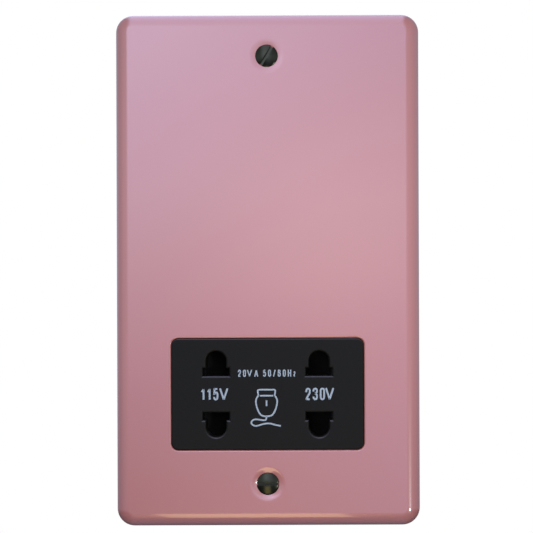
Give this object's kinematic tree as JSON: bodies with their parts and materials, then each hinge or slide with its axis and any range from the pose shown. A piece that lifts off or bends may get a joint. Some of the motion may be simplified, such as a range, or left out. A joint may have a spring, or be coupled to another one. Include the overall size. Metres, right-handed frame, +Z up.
{
  "type": "shaver socket",
  "caption": "Wall-mounted dual-voltage shaver socket: pressed steel plate, moulded face with shuttered pin apertures, isolating transformer and terminal strip in a rear case.",
  "frame": {"origin": "middle of the plate's rear rim, on the wall's surface, midway between the two fixing screws", "axes": "+Z up along the plate's length, +Y back into the wall, +X to the right as the user sees the plate"},
  "size_m": [0.086, 0.0453, 0.146],
  "materials": {
    "pink_enamel": "glossy stove-enamelled steel, dusty pink",
    "black_moulding": "satin black moulded thermoset",
    "dark_nickel": "dark nickel plate on turned brass",
    "zinc_steel": "bright zinc plate on steel",
    "tinned_brass": "tinned brass sheet",
    "shutter_moulding": "smooth black moulded nylon",
    "carrier_moulding": "natural white moulded nylon",
    "spring_steel": "drawn stainless spring wire",
    "contact_brass": "rolled brass strip",
    "switch_case": "black moulded polyester",
    "plunger_red": "red moulded acetal",
    "lamination_steel": "varnished edges of stacked steel laminations",
    "bobbin_moulding": "natural moulded nylon",
    "enamelled_copper": "enamelled copper wire",
    "yellow_tape": "yellow polyester film tape",
    "cutout_can": "black sleeved bimetal cut-out",
    "housing_moulding": "black moulded flame-retardant plastic, fine spark texture",
    "terminal_moulding": "natural white moulded nylon",
    "terminal_brass": "machined brass"
  },
  "bodies": {
    "root": {"front_plate": "pink_enamel", "front_moulding": "black_moulding", "fixing_screw_top": "dark_nickel", "fixing_screw_bottom": "dark_nickel", "plate_studs": "zinc_steel", "stud_nuts": "zinc_steel", "earth_tag": "tinned_brass", "shutter_spring_115v": "spring_steel", "shutter_spring_230v": "spring_steel", "contact_carrier": "carrier_moulding", "contact_115v_upper": "contact_brass", "contact_115v_lower": "contact_brass", "contact_230v_upper": "contact_brass", "contact_230v_lower": "contact_brass", "contact_retainer": "carrier_moulding", "module_screws": "zinc_steel", "switch_body_115v": "switch_case", "switch_body_230v": "switch_case", "switch_tags_115v": "tinned_brass", "switch_tags_230v": "tinned_brass", "transformer_core": "lamination_steel", "transformer_bobbin": "bobbin_moulding", "primary_winding": "enamelled_copper", "secondary_winding": "enamelled_copper", "primary_tape": "yellow_tape", "secondary_tape": "yellow_tape", "bobbin_tags": "tinned_brass", "thermal_cutout": "cutout_can", "rear_housing": "housing_moulding", "case_screws": "zinc_steel", "terminal_block": "terminal_moulding", "terminal_live": "terminal_brass", "terminal_earth": "terminal_brass", "terminal_neutral": "terminal_brass", "clamp_screws": "zinc_steel", "strip_screws": "zinc_steel"},
    "shutter_115v": {"shutter_115v": "shutter_moulding"},
    "shutter_230v": {"shutter_230v": "shutter_moulding"},
    "switch_plunger_115v": {"switch_plunger_115v": "plunger_red"},
    "switch_plunger_230v": {"switch_plunger_230v": "plunger_red"}
  },
  "joints": [
    {"name": "shutter_slide_115v", "type": "slide", "parent": "root", "child": "shutter_115v", "axis": [-1, 0, 0], "range_m": [0, 0.0076], "stiffness_N_per_m": 100, "springref_m": -0.002, "deforming": ["shutter_spring_115v"]},
    {"name": "switch_press_115v", "type": "slide", "parent": "root", "child": "switch_plunger_115v", "axis": [0, 1, 0], "range_m": [0, 0.00101]},
    {"name": "shutter_slide_230v", "type": "slide", "parent": "root", "child": "shutter_230v", "axis": [1, 0, 0], "range_m": [0, 0.0076], "stiffness_N_per_m": 100, "springref_m": -0.002, "deforming": ["shutter_spring_230v"]},
    {"name": "switch_press_230v", "type": "slide", "parent": "root", "child": "switch_plunger_230v", "axis": [0, 1, 0], "range_m": [0, 0.00101]}
  ],
  "couplings": [
    {"joint": "switch_press_115v", "follows": "shutter_slide_115v", "ratio": 0.13158},
    {"joint": "switch_press_230v", "follows": "shutter_slide_230v", "ratio": 0.13158}
  ]
}
